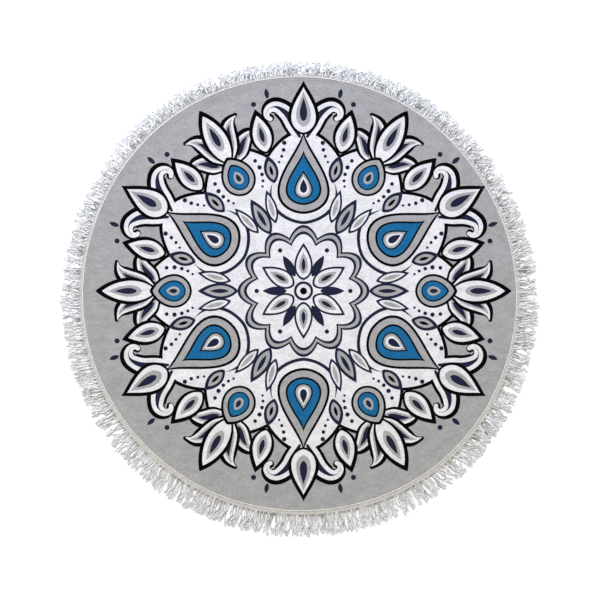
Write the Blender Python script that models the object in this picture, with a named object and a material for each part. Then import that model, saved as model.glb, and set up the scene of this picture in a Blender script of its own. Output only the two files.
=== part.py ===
"""A round beach towel lying flat: a disc of cotton velour terry with a turned hem, and a cotton fringe
sewn round it by its heading tape.

Metres. +Z is up and +Y is the way the towel's own top points. The origin is under the middle of the
towel's box, on the surface that it lies on.
"""
import math
import random

import bmesh
import bpy

# Driving dimensions.
CLOTH_RADIUS = 0.6840  # the panel's mean radius, out to its hemmed edge
CLOTH_THICKNESS = 0.0030
HEM_WIDTH = 0.0140
HEM_THICKNESS = 0.0042  # two layers, pressed together by the sewing
TIP_RADIUS = 0.7510  # the mean reach of the fringe's longest strands
SEAM_GAP = 0.00035
HEADING_WIDTH = 0.0130
HEADING_INNER_HEIGHT = 0.0046  # the raised selvedge that is sewn to the cloth
HEADING_OUTER_HEIGHT = 0.0034
LOCKS = 300

# How the panel's edge and the fringe's reach stray from a circle.
EDGE_WAVES = (
    # waves round the towel, height, direction of a crest in degrees
    (1, 0.0146, 100.0),
    (2, 0.0037, -50.0),
    (3, 0.0020, -33.0),
    (6, 0.0009, 7.0),
)
TIP_WAVES = (
    # waves round the towel, height, direction of a crest in degrees
    (1, 0.0034, -136.0),
    (2, 0.0018, -41.0),
    (3, 0.0022, -29.0),
    (6, 0.0015, 1.0),
)

# Soft puckers near the hem, where the sewing has drawn the cloth up.
PUCKERS = (
    # direction in degrees, distance in from the edge, turn from the radius in degrees,
    # half length, half width, height
    (60.0, 0.045, 62.0, 0.085, 0.036, 0.0026),
    (68.0, 0.050, 70.0, 0.080, 0.032, 0.0018),
    (82.0, 0.042, 80.0, 0.100, 0.034, 0.0019),
    (46.0, 0.060, 28.0, 0.090, 0.034, 0.0016),
    (37.0, 0.070, 12.0, 0.085, 0.034, 0.0015),
    (7.0, 0.055, 20.0, 0.090, 0.036, 0.0018),
    (-12.0, 0.052, -24.0, 0.085, 0.034, 0.0016),
    (152.0, 0.060, -40.0, 0.110, 0.038, 0.0015),
    (214.0, 0.050, 76.0, 0.095, 0.034, 0.0016),
    (283.0, 0.048, -72.0, 0.110, 0.036, 0.0020),
)

# The panel's rings of points, from its edge to its middle.
TOP_RINGS = (
    # distance in from the edge, points round the ring, thickness
    (0.0012, 160, 0.0040),
    (HEM_WIDTH, 160, HEM_THICKNESS),
    (HEM_WIDTH + 0.0030, 160, CLOTH_THICKNESS),
    (0.0420, 160, CLOTH_THICKNESS),
    (0.0700, 160, CLOTH_THICKNESS),
    (0.1050, 160, CLOTH_THICKNESS),
    (0.1550, 160, CLOTH_THICKNESS),
    (0.2400, 80, CLOTH_THICKNESS),
    (0.3600, 80, CLOTH_THICKNESS),
    (0.5000, 40, CLOTH_THICKNESS),
    (0.6100, 20, CLOTH_THICKNESS),
)
EDGE_HEIGHT = 0.0022  # where the folded edge is roundest
UNDERSIDE_INSET = 0.0010  # how far in the folded edge meets the surface below

# A lock of fringe, from its root on the heading to its tip. It rests on the surface below all along.
LOCK_SECTIONS = (
    # share of its length, width, height, width of its top as a share of its width
    (0.00, 0.0117, HEADING_OUTER_HEIGHT, 1.00),
    (0.34, 0.0116, 0.0056, 0.50),
    (0.70, 0.0109, 0.0048, 0.48),
    (1.00, 0.0078, 0.0030, 0.50),
)
LOCK_THINNING = 0.14  # how much slimmer than the fullest a lock may be, as a share
LOCK_SHORTFALL = 0.0090  # how much shorter than the longest a lock's tip may be
LOCK_JITTER = 0.0017  # how far its tip strays sideways from its neighbours' lean
LOCK_BOW = 0.0007  # how far its middle bows to one side
# The slow lean of the locks, as the fringe was stroked down: waves round the towel, sideways shift.
LEAN_WAVES = (
    (5, 0.0042, 20.0),
    (9, 0.0035, 75.0),
    (14, 0.0022, 140.0),
)

CLOTH_COLOUR = "ABABAD"
FRINGE_COLOUR = "E6E8EE"


def wave_sum(direction, waves):
    """The sum of the table's waves in a direction given in radians."""
    return sum(
        height * math.cos(count * (direction - math.radians(crest)))
        for count, height, crest in waves
    )


def edge_radius(direction):
    return CLOTH_RADIUS + wave_sum(direction, EDGE_WAVES)


def tip_radius(direction):
    return TIP_RADIUS + wave_sum(direction, TIP_WAVES)


def polar(direction, radius):
    return radius * math.cos(direction), radius * math.sin(direction)


def lift(x, y):
    """How far the puckers raise the cloth off the surface at a point."""
    total = 0.0
    for direction_deg, inset, turn_deg, half_length, half_width, height in PUCKERS:
        direction = math.radians(direction_deg)
        middle_x, middle_y = polar(direction, edge_radius(direction) - inset)
        heading = direction + math.radians(turn_deg)
        along = (x - middle_x) * math.cos(heading) + (y - middle_y) * math.sin(heading)
        across = (y - middle_y) * math.cos(heading) - (x - middle_x) * math.sin(heading)
        reach = 1.0 - (along / half_length) ** 2 - (across / half_width) ** 2
        if reach > 0.0:
            total += height * reach**2
    return total


def ring_of_points(bm, inset, count, height):
    """A ring of the panel at a distance in from its edge and a height over its puckered underside."""
    share = 1.0 - inset / CLOTH_RADIUS
    pucker_share = 0.0 if inset < HEM_WIDTH else 1.0
    points = []
    for step in range(count):
        direction = math.tau * step / count
        x, y = polar(direction, edge_radius(direction) * share)
        points.append(bm.verts.new((x, y, height + pucker_share * lift(x, y))))
    return points


def band(bm, outer, inner):
    """Faces between two rings, the outer one with as many points as the inner or a multiple."""
    ratio = len(outer) // len(inner)
    for step in range(len(inner)):
        outer_run = [outer[(step * ratio + k) % len(outer)] for k in range(ratio + 1)]
        bm.faces.new([*outer_run, inner[(step + 1) % len(inner)], inner[step]])


def cap(bm, ring, height):
    """A fan of triangles that closes a ring at the panel's middle."""
    middle = bm.verts.new((0.0, 0.0, height))
    for step in range(len(ring)):
        bm.faces.new([ring[step], ring[(step + 1) % len(ring)], middle])


def towel_cloth():
    """The panel, a thin sheet with its hem turned under, lying on the surface."""
    bm = bmesh.new()
    top = [ring_of_points(bm, *ring) for ring in TOP_RINGS]
    edge = ring_of_points(bm, 0.0, TOP_RINGS[0][1], EDGE_HEIGHT)
    below = [ring_of_points(bm, UNDERSIDE_INSET, TOP_RINGS[0][1], 0.0)]
    below += [ring_of_points(bm, inset, count, 0.0) for inset, count, _ in TOP_RINGS[2:]]
    for rings in ([edge, *top], [edge, *below]):
        for outer, inner in zip(rings, rings[1:]):
            band(bm, outer, inner)
    cap(bm, top[-1], CLOTH_THICKNESS)
    cap(bm, below[-1], 0.0)
    return finished("towel_cloth", bm, CLOTH_COLOUR, 0.95)


def lock_path(direction, dice):
    """Places along a lock's middle line, as (radius, sideways shift) for each of its sections."""
    root = edge_radius(direction) + SEAM_GAP + HEADING_WIDTH
    tip = tip_radius(direction) - LOCK_SHORTFALL * dice.random() ** 1.5
    lean = wave_sum(direction, LEAN_WAVES) + LOCK_JITTER * dice.uniform(-1.0, 1.0)
    bow = LOCK_BOW * dice.uniform(-1.0, 1.0)
    return [
        (root + (tip - root) * along, lean * along**1.5 + bow * math.sin(math.pi * along))
        for along, _, _, _ in LOCK_SECTIONS
    ]


def section_points(direction, radius, shift, width, height, top_share):
    """The four corners of a lock's section: two on the surface below, two on its crown."""
    out_x, out_y = math.cos(direction), math.sin(direction)
    corners = []
    for side, share, z in ((-1, 1.0, 0.0), (1, 1.0, 0.0), (1, top_share, height), (-1, top_share, height)):
        across = shift + side * share * width / 2
        corners.append((radius * out_x - across * out_y, radius * out_y + across * out_x, z))
    return corners


def grow_lock(bm, direction, dice):
    """One lock of the fringe. Returns the four corners of its root."""
    fullness = 1.0 - LOCK_THINNING * dice.random()
    sections = [
        [
            bm.verts.new(corner)
            for corner in section_points(direction, *place, width * fullness, height, top_share)
        ]
        for place, (_, width, height, top_share) in zip(lock_path(direction, dice), LOCK_SECTIONS)
    ]
    for here, there in zip(sections, sections[1:]):
        for side in range(4):
            after = (side + 1) % 4
            bm.faces.new([here[side], here[after], there[after], there[side]])
    bm.faces.new(sections[-1])
    return sections[0]


def heading(bm, roots):
    """The strip between the panel's edge and the locks' roots, which are part of its outer wall."""
    below, top = [], []
    for step in range(LOCKS):
        direction = math.tau * (step - 0.5) / LOCKS
        x, y = polar(direction, edge_radius(direction) + SEAM_GAP)
        below.append(bm.verts.new((x, y, 0.0)))
        top.append(bm.verts.new((x, y, HEADING_INNER_HEIGHT)))
    for step in range(LOCKS):
        after = (step + 1) % LOCKS
        near_below, far_below, far_top, near_top = roots[step]
        next_below, _, _, next_top = roots[after]
        bm.faces.new([far_below, next_below, next_top, far_top])
        bm.faces.new([below[step], below[after], top[after], top[step]])
        bm.faces.new([top[step], near_top, far_top, next_top, top[after]])
        bm.faces.new([below[step], near_below, far_below, next_below, below[after]])


def fringe():
    """The heading strip round the panel, with every lock growing out of its outer wall."""
    bm = bmesh.new()
    dice = random.Random(11)
    heading(bm, [grow_lock(bm, math.tau * step / LOCKS, dice) for step in range(LOCKS)])
    return finished("fringe", bm, FRINGE_COLOUR, 0.85)


def linear(hex_colour):
    """An sRGB colour as linear red, green, blue and alpha."""
    shares = [int(hex_colour[k:k + 2], 16) / 255 for k in (0, 2, 4)]
    return (*((c / 12.92 if c <= 0.04045 else ((c + 0.055) / 1.055) ** 2.4) for c in shares), 1.0)


def finished(name, bm, hex_colour, roughness):
    """The object of a node, with its faces outward, its material and smooth shading."""
    bmesh.ops.triangulate(bm, faces=bm.faces)
    bmesh.ops.recalc_face_normals(bm, faces=bm.faces)
    mesh = bpy.data.meshes.new(name)
    bm.to_mesh(mesh)
    bm.free()
    material = bpy.data.materials.new(name)
    material.use_nodes = True
    surface = material.node_tree.nodes["Principled BSDF"]
    surface.inputs["Base Color"].default_value = linear(hex_colour)
    surface.inputs["Roughness"].default_value = roughness
    surface.inputs["Metallic"].default_value = 0.0
    mesh.materials.append(material)
    mesh.shade_smooth()
    mesh.set_sharp_from_angle(angle=math.radians(40.0))
    made = bpy.data.objects.new(name, mesh)
    bpy.context.scene.collection.objects.link(made)
    return made


def stand_on_box_middle(objects):
    """Moves the meshes together so that the origin is under the middle of their box."""
    bpy.context.view_layer.update()
    corners = [corner for made in objects for corner in made.bound_box]
    middle_x, middle_y = (
        (min(corner[axis] for corner in corners) + max(corner[axis] for corner in corners)) / 2
        for axis in (0, 1)
    )
    for made in objects:
        for vertex in made.data.vertices:
            vertex.co.x -= middle_x
            vertex.co.y -= middle_y


def main():
    for old in list(bpy.data.objects):
        bpy.data.objects.remove(old, do_unlink=True)
    stand_on_box_middle([towel_cloth(), fringe()])


main()
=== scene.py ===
"""The looks of a round beach towel that lies flat: printed cotton velour with a turned hem, and a looped
cotton fringe sewn round it by its heading tape.

Metres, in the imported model's frame: +Z is up and +Y is the way the towel's own top points. The print is
drawn in millimetres on sector axes, and the fringe follows the same edge formula as the part's solids.
"""
import math
import random
from functools import partial

import bmesh
import bpy
import numpy
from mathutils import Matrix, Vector
from mathutils.geometry import delaunay_2d_cdt


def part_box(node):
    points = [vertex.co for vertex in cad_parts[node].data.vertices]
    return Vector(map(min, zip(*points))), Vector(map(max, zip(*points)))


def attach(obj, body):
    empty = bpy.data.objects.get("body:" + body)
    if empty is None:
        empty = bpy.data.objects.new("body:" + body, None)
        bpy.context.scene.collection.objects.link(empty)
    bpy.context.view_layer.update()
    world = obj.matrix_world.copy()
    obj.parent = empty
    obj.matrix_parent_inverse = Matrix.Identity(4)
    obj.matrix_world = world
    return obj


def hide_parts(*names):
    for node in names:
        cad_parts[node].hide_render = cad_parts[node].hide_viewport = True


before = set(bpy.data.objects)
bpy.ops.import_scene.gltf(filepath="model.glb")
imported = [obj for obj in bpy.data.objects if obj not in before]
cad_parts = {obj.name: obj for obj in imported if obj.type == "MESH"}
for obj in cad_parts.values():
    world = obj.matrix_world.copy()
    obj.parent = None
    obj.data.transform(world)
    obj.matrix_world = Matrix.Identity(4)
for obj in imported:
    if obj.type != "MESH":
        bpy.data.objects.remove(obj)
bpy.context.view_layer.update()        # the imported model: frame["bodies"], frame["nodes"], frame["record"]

bl_info = {
    "name": "Round Beach Towel",
    "version": (1, 0, 0),
    "blender": (4, 5, 0),
    "location": "3D View > Sidebar > Towel",
    "description": "Makes a printed round beach towel with a looped cotton fringe",
    "category": "Add Mesh",
}

BODY = "root"
MM = 0.001

# The panel and its trimming, as the part's solids have them.
CLOTH_RADIUS = 0.6840  # the panel's mean radius, out to its hemmed edge
CLOTH_THICKNESS = 0.0030
HEM_WIDTH = 0.0140
HEM_THICKNESS = 0.0042
TIP_RADIUS = 0.7510  # the mean reach of the fringe's longest strands
SEAM_GAP = 0.00035
EDGE_STEPS = 160  # the points round the solid's edge

# How the panel's edge, the fringe's reach and its lean stray from a circle.
EDGE_WAVES = (
    # waves round the towel, height, direction of a crest in degrees
    (1, 0.0146, 100.0),
    (2, 0.0037, -50.0),
    (3, 0.0020, -33.0),
    (6, 0.0009, 7.0),
)
TIP_WAVES = (
    (1, 0.0034, -136.0),
    (2, 0.0018, -41.0),
    (3, 0.0022, -29.0),
    (6, 0.0015, 1.0),
)
LEAN_WAVES = (
    # waves round the towel, sideways shift of the tips, direction of a crest in degrees
    (5, 0.0042, 20.0),
    (9, 0.0035, 75.0),
    (14, 0.0022, 140.0),
)

# Soft puckers near the hem, where the sewing has drawn the cloth up. The first ten are in the solid too.
PUCKERS = (
    # direction in degrees, distance in from the edge, turn from the radius in degrees,
    # half length, half width, height
    (60.0, 0.045, 62.0, 0.085, 0.036, 0.0026),
    (68.0, 0.050, 70.0, 0.080, 0.032, 0.0018),
    (82.0, 0.042, 80.0, 0.100, 0.034, 0.0019),
    (46.0, 0.060, 28.0, 0.090, 0.034, 0.0016),
    (37.0, 0.070, 12.0, 0.085, 0.034, 0.0015),
    (7.0, 0.055, 20.0, 0.090, 0.036, 0.0018),
    (-12.0, 0.052, -24.0, 0.085, 0.034, 0.0016),
    (152.0, 0.060, -40.0, 0.110, 0.038, 0.0015),
    (214.0, 0.050, 76.0, 0.095, 0.034, 0.0016),
    (283.0, 0.048, -72.0, 0.110, 0.036, 0.0020),
    (62.0, 0.026, 58.0, 0.066, 0.0100, 0.0038),
    (66.0, 0.040, 64.0, 0.058, 0.0095, 0.0034),
    (57.0, 0.044, 54.0, 0.050, 0.0090, 0.0026),
    (81.0, 0.026, 76.0, 0.054, 0.0095, 0.0028),
    (72.0, 0.030, 68.0, 0.040, 0.0085, -0.0016),
    (38.0, 0.034, 48.0, 0.048, 0.0100, 0.0026),
    (33.0, 0.044, 40.0, 0.040, 0.0100, -0.0012),
    (5.0, 0.030, -40.0, 0.044, 0.0095, 0.0012),
    (-24.0, 0.036, 52.0, 0.050, 0.0110, 0.0012),
    (283.0, 0.030, -64.0, 0.056, 0.0100, 0.0013),
    (252.0, 0.034, 62.0, 0.050, 0.0110, 0.0010),
    (214.0, 0.030, 70.0, 0.050, 0.0100, 0.0013),
    (176.0, 0.036, -58.0, 0.055, 0.0110, 0.0011),
    (131.0, 0.034, 60.0, 0.055, 0.0110, 0.0010),
)

# The cloth's thickness from its folded edge inward: the hem, its stitched groove, and the single layer.
HEM_PROFILE = (
    # distance in from the edge, height of the face over the underside
    (0.0000, 0.0022),
    (0.0008, 0.0036),
    (0.0020, 0.0041),
    (0.0045, HEM_THICKNESS),
    (0.0100, HEM_THICKNESS),
    (0.0118, 0.0036),
    (0.0136, 0.0041),
    (0.0165, 0.0033),
    (0.0210, CLOTH_THICKNESS),
)
RING_STEPS = 720  # the points round each ring of the hem

# The print. Its middle lies off the middle of the panel's waves, and it is printed a little larger than it
# is drawn.
PRINT_OFFSET = (0.0095, 0.0253)
PRINT_SCALE = 1.012
MAIN, SIDE, BUD = (90.0, 6), (60.0, 6), (75.0, 12)  # each kind of axis: its first direction, and how many
TOP = MAIN[0]
PETAL_STEPS = 26
BRUSH_STEP = 8.0  # a point of a brush stroke for so many millimetres of its run
BRUSH_TURN = 11.0  # and one for so many degrees of its turn


def linear(hex_colour):
    """An sRGB colour as linear red, green, blue and alpha."""
    shares = [int(hex_colour[k:k + 2], 16) / 255 for k in (0, 2, 4)]
    return (*((c / 12.92 if c <= 0.04045 else ((c + 0.055) / 1.055) ** 2.4) for c in shares), 1.0)


# ---------------------------------------------------------------- the properties a user would change


def length(default, name, description):
    return bpy.props.FloatProperty(
        name=name, description=description, default=default, min=0.0, unit="LENGTH"
    )


def colour(hex_colour, name, description):
    return bpy.props.FloatVectorProperty(
        name=name,
        description=description,
        default=linear(hex_colour),
        size=4,
        min=0.0,
        max=1.0,
        subtype="COLOR",
    )


class TowelPrintSettings(bpy.types.PropertyGroup):
    ground: colour("9D9DA0", "Ground", "Ink of the ground, and of the fillings within the print")
    white: colour("D7D7DD", "White", "The cloth's own white, left bare by the inks")
    black: colour("040405", "Black", "Ink of the print's outer contours")
    navy: colour("1F2339", "Navy", "Ink of the leaves and the fine lines")
    blue: colour("1B6191", "Blue", "Ink of the lanterns and the round drops")


class TowelFringeSettings(bpy.types.PropertyGroup):
    strands: bpy.props.IntProperty(
        name="Strands", description="How many strands go round the towel", default=980, min=12
    )
    strand_length: length(0.078, "Strand length", "A strand's length when it is pulled straight")
    strand_width: length(0.0050, "Strand width", "The width of a twisted strand")
    rib_pitch: length(0.0046, "Rib pitch", "From rib to rib of the heading tape")
    cord_width: length(0.0036, "Seam cord width", "The width of the twisted cord over the seam")
    stitch_pitch: length(0.0032, "Stitch pitch", "From stitch to stitch of the hem's seam")
    cotton: colour("FBFBFE", "Cotton", "The bleached cotton of the strands")
    tape: colour("CCCCC8", "Tape", "The ivory of the heading tape")
    cord: colour("FAFAF6", "Cord", "The paler ivory of the seam cord")
    thread: colour("9D9DA0", "Thread", "The sewing thread along the hem")


class TowelStageSettings(bpy.types.PropertyGroup):
    view_width: length(1.895, "View width", "The width of the floor that the camera sees")
    lens: bpy.props.FloatProperty(
        name="Lens", description="The camera's focal length, in millimetres", default=85.0
    )
    key_power: bpy.props.FloatProperty(
        name="Key light", description="The soft light's power", default=485.0, unit="POWER"
    )
    sky: bpy.props.FloatProperty(
        name="Sky", description="The strength of the even light all round", default=0.50
    )


# ---------------------------------------------------------------- the panel's shape


def wave_sum(direction, waves):
    """The sum of the table's waves in a direction given in radians."""
    return sum(height * math.cos(count * (direction - math.radians(crest))) for count, height, crest in waves)


def edge_radius(direction):
    return CLOTH_RADIUS + wave_sum(direction, EDGE_WAVES)


def tip_radius(direction):
    return TIP_RADIUS + wave_sum(direction, TIP_WAVES)


def waves_middle():
    """Where the middle of the edge's waves lies in the frame, by setting the formula's box on the solid's."""
    low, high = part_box("towel_cloth")
    turns = [math.tau * step / EDGE_STEPS for step in range(EDGE_STEPS)]
    across = [edge_radius(turn) * math.cos(turn) for turn in turns]
    along = [edge_radius(turn) * math.sin(turn) for turn in turns]
    middle_x = (low[0] + high[0] - min(across) - max(across)) / 2
    middle_y = (low[1] + high[1] - min(along) - max(along)) / 2
    return middle_x, middle_y


MIDDLE_X, MIDDLE_Y = waves_middle()


def in_frame(direction, radius, height=0.0):
    """A place given by its direction and distance from the middle of the waves."""
    return Vector((MIDDLE_X + radius * math.cos(direction), MIDDLE_Y + radius * math.sin(direction), height))


def inset_at(x, y):
    """How far in from the panel's edge a point lies."""
    direction = math.atan2(y - MIDDLE_Y, x - MIDDLE_X)
    return CLOTH_RADIUS * (1.0 - math.hypot(x - MIDDLE_X, y - MIDDLE_Y) / edge_radius(direction))


def inset_radius(direction, inset):
    return edge_radius(direction) * (1.0 - inset / CLOTH_RADIUS)


def eased(share):
    """A smooth step from 0 to 1."""
    share = min(max(share, 0.0), 1.0)
    return share * share * (3.0 - 2.0 * share)


def topward(direction):
    """0 at the towel's bottom, and 1 at its top."""
    return 0.5 + 0.5 * math.sin(direction)


def nearness(direction, middle_deg, none, full):
    """1 round a middle direction and 0 away from it. none and full are the cosines of the angles to the
    middle where it begins and where it is whole."""
    return eased((math.cos(direction - math.radians(middle_deg)) - none) / (full - none))


def placed_puckers():
    """Each pucker's middle, its long direction, its half length and width, and its height."""
    rows = []
    for direction_deg, inset, turn_deg, *sizes in PUCKERS:
        direction = math.radians(direction_deg)
        heading = direction + math.radians(turn_deg)
        middle = in_frame(direction, edge_radius(direction) - inset)
        rows.append((middle.x, middle.y, math.cos(heading), math.sin(heading), *sizes))
    return rows


PLACED_PUCKERS = placed_puckers()
FLAT_HEM = 0.6  # the share of the hem, from its folded edge in, that the puckers leave flat


def lift(x, y):
    """How far the puckers raise the cloth off the floor at a point."""
    total = 0.0
    for middle_x, middle_y, c, s, half_length, half_width, height in PLACED_PUCKERS:
        along = (x - middle_x) * c + (y - middle_y) * s
        across = (y - middle_y) * c - (x - middle_x) * s
        reach = 1.0 - (along / half_length) ** 2 - (across / half_width) ** 2
        if reach > 0.0:
            total += height * reach**2
    return total * eased(inset_at(x, y) / HEM_WIDTH - FLAT_HEM)


def thickness(inset):
    """The cloth's thickness at a distance in from its edge."""
    for (outer, outer_height), (inner, inner_height) in zip(HEM_PROFILE, HEM_PROFILE[1:]):
        if inset <= inner:
            return outer_height + (inner_height - outer_height) * max(inset - outer, 0.0) / (inner - outer)
    return HEM_PROFILE[-1][1]


# ---------------------------------------------------------------- outlines of the print, in millimetres


def petal(start, end, width, base, tip, margin=0.0):
    """An outline along the axis, widest between its base and its tip. An end whose number is 0.5 is
    round, one of 1 is pointed, and one of more is drawn out to a fine point."""
    start, end, width = start - margin, end + 1.8 * margin, width + 2.0 * margin
    peak = base / (base + tip)
    side = []
    for step in range(PETAL_STEPS + 1):
        share = (1.0 - math.cos(math.pi * step / PETAL_STEPS)) / 2.0
        half = width / 2.0 * (share / peak) ** base * ((1.0 - share) / (1.0 - peak)) ** tip
        side.append((start + (end - start) * share, half))
    return side + [(x, -y) for x, y in reversed(side[1:-1])]


def disc(x, y, radius, steps=20):
    turns = [math.tau * k / steps for k in range(steps)]
    return [(x + radius * math.cos(turn), y + radius * math.sin(turn)) for turn in turns]


def scallops(radius, count, depth, steps=16):
    """A round edge of bulging lobes that meet in notches. One lobe points up."""
    outline = []
    for k in range(count * steps):
        turn = math.tau * k / (count * steps)
        reach = radius * (1.0 - depth * (1.0 - abs(math.cos(count * turn / 2.0))))
        turn += math.radians(TOP)
        outline.append((reach * math.cos(turn), reach * math.sin(turn)))
    return outline


def read_evenly(values, share):
    """A value read along a smooth curve through evenly spaced ones."""
    place = min(max(share, 0.0), 1.0) * (len(values) - 1)
    here = min(int(place), len(values) - 2)
    part = place - here
    before, first, second, after = (values[min(max(here + k, 0), len(values) - 1)] for k in (-1, 0, 1, 2))
    bend = 2.0 * before - 5.0 * first + 4.0 * second - after
    twist = 3.0 * (first - second) + after - before
    return first + 0.5 * part * (second - before + part * (bend + part * twist))


def brush_line(x, y, heading, runs, widths, margin):
    """The middle line of a brush stroke as (x, y, heading, half width). A margin narrows towards the end."""
    total = sum(run for run, _ in runs)
    line = [(x, y, heading, widths[0] / 2.0 + margin)]
    done = 0.0
    for run, turn_deg in runs:
        steps = max(2, round(run / BRUSH_STEP + abs(turn_deg) / BRUSH_TURN))
        turn = math.radians(turn_deg) / steps
        for _ in range(steps):
            heading += turn / 2.0
            x += run / steps * math.cos(heading)
            y += run / steps * math.sin(heading)
            heading += turn / 2.0
            done += run / steps
            kept = 1.0 - 0.5 * eased((done / total - 0.7) / 0.3)
            line.append((x, y, heading, read_evenly(widths, done / total) / 2.0 + margin * kept))
    return [place for place in line if place[3] > 0.5]


def stroke(x, y, heading_deg, runs, widths, margin=0.0):
    """A brush stroke with round ends. Each run is a length and the turn made along it. A margin below
    zero gives the filling that stays so far inside it."""
    line = brush_line(x, y, math.radians(heading_deg), runs, widths, margin)

    def side(sign):
        return [(x - sign * half * math.sin(h), y + sign * half * math.cos(h)) for x, y, h, half in line]

    def end(place, first_deg):
        x, y, h, half = place
        steps = 5 if half > 1.5 else 1
        turns = [h + math.radians(first_deg - 180.0 * k / (steps + 1)) for k in range(1, steps + 1)]
        return [(x + half * math.cos(turn), y + half * math.sin(turn)) for turn in turns]

    return [*side(1), *end(line[-1], 90.0), *side(-1)[::-1], *end(line[0], -90.0)]


def set_at(x, y, turn_deg, outline):
    """An outline turned about its origin and then moved."""
    c, s = math.cos(math.radians(turn_deg)), math.sin(math.radians(turn_deg))
    return [(x + c * px - s * py, y + s * px + c * py) for px, py in outline]


def mirrored(outline):
    return [(x, -y) for x, y in reversed(outline)]


class Print:
    """The print's outlines with the inks that fill them. A higher layer goes on later."""

    def __init__(self):
        self.rows = []

    def put(self, layer, ink, outline, axis=None, twice=False):
        """An outline on each direction of an axis, or once for a round. twice adds its mirror image."""
        if axis is None:
            self.rows.append((layer, ink, outline))
            return
        first_deg, count = axis
        for shape in (outline, mirrored(outline)) if twice else (outline,):
            for k in range(count):
                self.rows.append((layer, ink, set_at(0.0, 0.0, first_deg + 360.0 * k / count, shape)))

    def contoured(self, layer, border, shape, axis, twice=False, ink="white", drift=3.0):
        """A shape over a larger black one, which shows more on the outer side, as a brush draws it. shape
        gives the outline for a margin. Shapes on one layer run together inside one contour."""
        self.put(layer, "black", set_at(drift, 0.0, 0.0, shape(border)), axis, twice)
        self.put(layer + 1, ink, shape(0.0), axis, twice)

    def nested(self, axis, *rings):
        """Shapes one inside another, each as layer, ink, start, end, width, base and tip of a petal."""
        for layer, ink, start, end, width, base, tip in rings:
            self.put(layer, ink, petal(start, end, width, base, tip), axis)

    def in_order(self):
        return [(ink, outline) for _, ink, outline in sorted(self.rows, key=lambda row: row[0])]


def draw_ground(sheet):
    """The scalloped white round that the rest lies on."""
    sheet.put(0, "black", scallops(506, 12, 0.13))
    sheet.put(1, "white", scallops(494, 12, 0.135))


def draw_palmettes(sheet):
    """A pointed leaf between two curled ones, on each main axis."""
    curl = ((56, -4), (58, 38), (42, 92), (28, 100))

    def leaf(margin):
        return stroke(482, 12, 30, curl, (36, 46, 42, 28, 13), margin)

    sheet.contoured(0, 11, leaf, MAIN, True)
    sheet.put(12, "navy", leaf(-13.5), MAIN, True)
    sheet.contoured(20, 10, lambda m: petal(494, 636, 76, 0.62, 1.2, m), MAIN)
    sheet.nested(MAIN, (22, "ground", 512, 624, 46, 0.6, 1.25), (23, "navy", 530, 604, 23, 0.6, 1.2))
    sheet.put(12, "navy", set_at(0, 0, 10.6, petal(610, 642, 14, 0.8, 0.9)), MAIN, True)


def draw_buds(sheet):
    """A bud in each notch between palmette and fan, over a dark leaf."""
    sheet.contoured(6, 10, lambda m: petal(450, 566, 56, 0.75, 1.05, m), BUD)
    sheet.nested(BUD, (12, "ground", 466, 546, 31, 0.7, 1.05), (13, "navy", 480, 530, 15, 0.7, 1.05))
    sheet.put(12, "navy", disc(602, 0, 8), BUD)
    sheet.nested(
        BUD,
        (10, "navy", 348, 436, 44, 0.8, 0.9),
        (11, "ground", 359, 420, 27, 0.8, 0.9),
        (12, "black", 373, 405, 10, 0.8, 0.9),
    )


def draw_fans(sheet):
    """A pointed leaf between two pairs of bent ones, on each side axis."""
    low, high = ((46, -14), (44, 30), (30, 50)), ((54, -16), (56, 26), (38, 46))

    def low_leaf(margin):
        return stroke(456, 20, 58, low, (14, 40, 42, 26, 2), margin)

    def high_leaf(margin):
        return stroke(466, 8, 32, high, (14, 42, 46, 28, 2), margin)

    for layer, leaf in ((2, low_leaf), (4, high_leaf)):
        sheet.contoured(layer, 11, leaf, SIDE, True)
        sheet.put(layer + 1.3, "ground", leaf(-8), SIDE, True)
        sheet.put(layer + 1.6, "navy", leaf(-14), SIDE, True)
    sheet.contoured(6, 10, lambda m: petal(462, 628, 64, 0.75, 0.9, m), SIDE)
    sheet.nested(SIDE, (12, "ground", 504, 608, 36, 0.6, 1.0), (13, "navy", 520, 588, 19, 0.6, 1.0))


def draw_lanterns(sheet):
    """A pointed blue lantern in its frames, on each main axis, with dots at each shoulder."""
    sheet.nested(
        MAIN,
        (8, "navy", 208, 470, 212, 0.62, 1.20),
        (9, "white", 218, 494, 200, 0.60, 1.20),
        (10, "black", 240, 502, 164, 0.56, 1.50),
        (11, "ground", 248, 486, 148, 0.56, 1.50),
        (12, "black", 268, 440, 112, 0.56, 1.45),
        (13, "blue", 274, 428, 100, 0.56, 1.45),
        (14, "black", 288, 376, 58, 0.52, 1.20),
        (15, "ground", 292, 368, 49, 0.52, 1.20),
        (16, "white", 299, 358, 36, 0.52, 1.20),
        (17, "navy", 306, 350, 22, 0.55, 1.10),
    )
    for x, y, radius in ((402, 76, 4), (420, 68, 5), (440, 62, 6), (462, 60, 7)):
        sheet.put(10, "navy", disc(x, y, radius), MAIN, True)


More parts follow.
